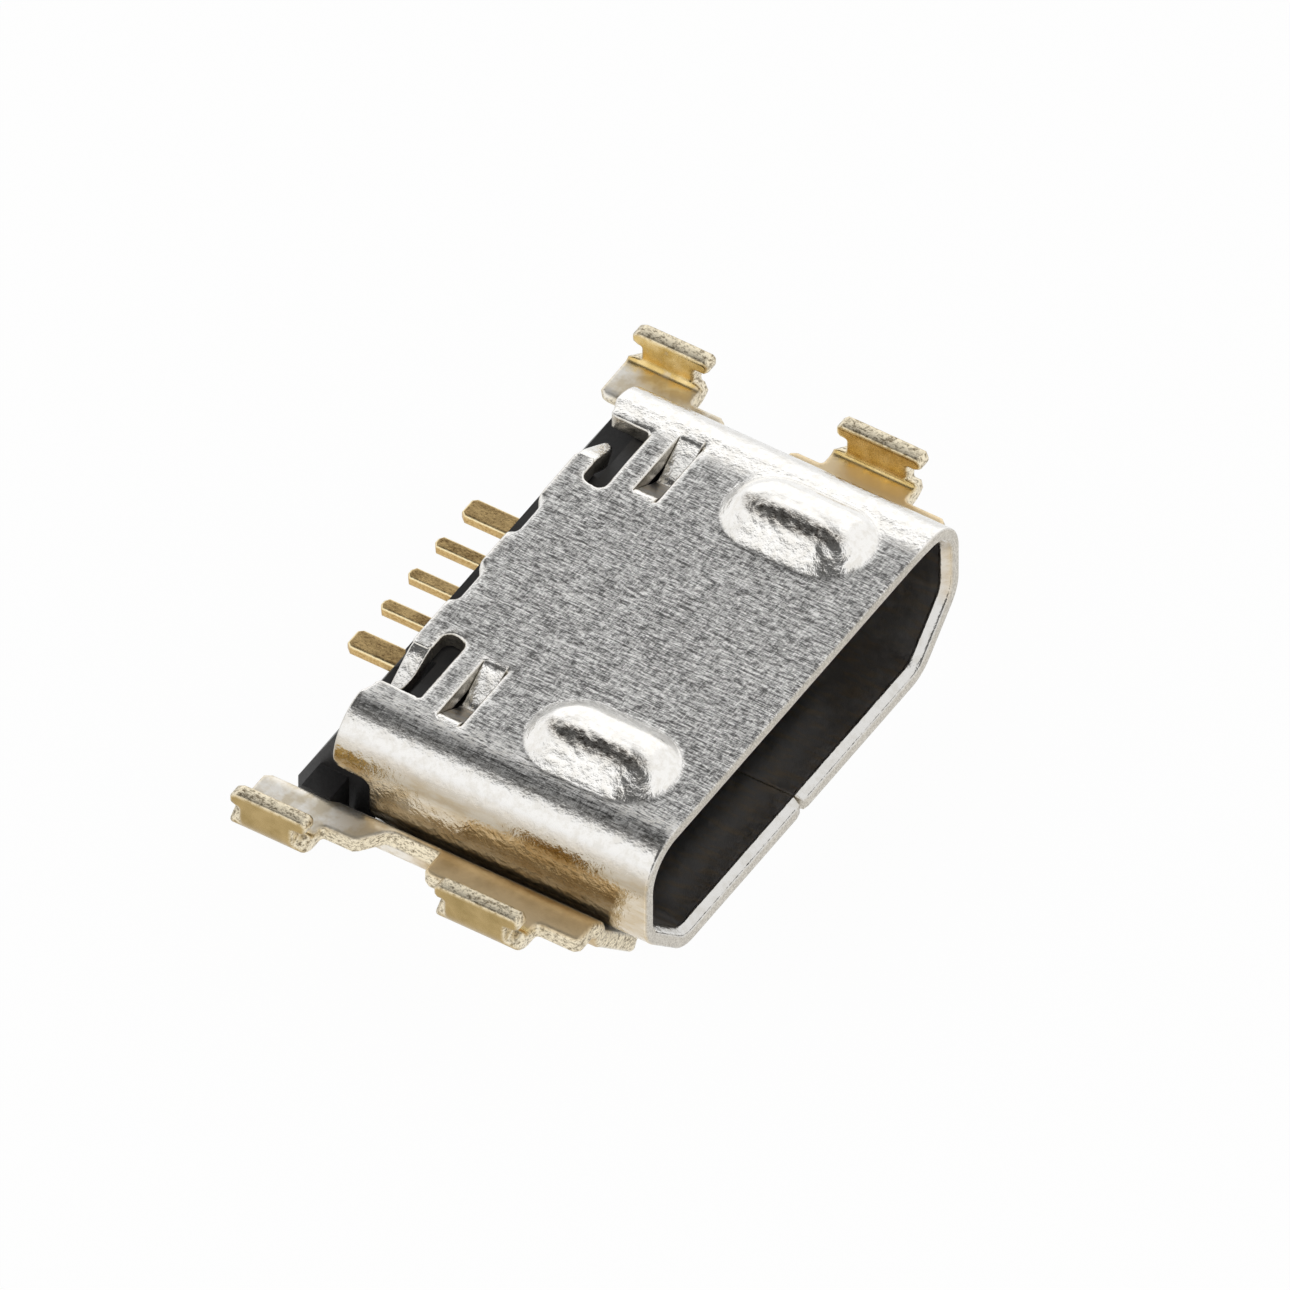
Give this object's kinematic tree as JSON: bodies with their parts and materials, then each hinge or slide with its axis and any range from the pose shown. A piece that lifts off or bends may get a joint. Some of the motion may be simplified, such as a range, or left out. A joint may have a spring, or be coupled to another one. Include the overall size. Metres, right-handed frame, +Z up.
{
  "type": "charging port receptacle",
  "caption": "Mid-mount micro charging port: folded metal shell with latch bumps, leg frame with upturned solder legs, black insulator and flat contacts.",
  "frame": {"origin": "middle of the whole part's bounding box in X and Y, at the level of its lowest face, the underside of the leg frame's floor", "axes": "+X across the port, +Y from the mouth back towards the solder tails, +Z up through the wide flat top with the latch bumps"},
  "size_m": [0.0098, 0.006, 0.0029],
  "materials": {
    "shell_metal": "nickel-plated sheet, brushed top with bright bends",
    "frame_metal": "plated sheet with a pale gold tint",
    "black_plastic": "satin black moulding",
    "contact_gold": "gold-plated copper alloy"
  },
  "bodies": {
    "root": {"shell": "shell_metal", "leg_frame": "frame_metal", "insulator": "black_plastic", "contact_1": "contact_gold", "contact_2": "contact_gold", "contact_3": "contact_gold", "contact_4": "contact_gold", "contact_5": "contact_gold"}
  },
  "joints": []
}
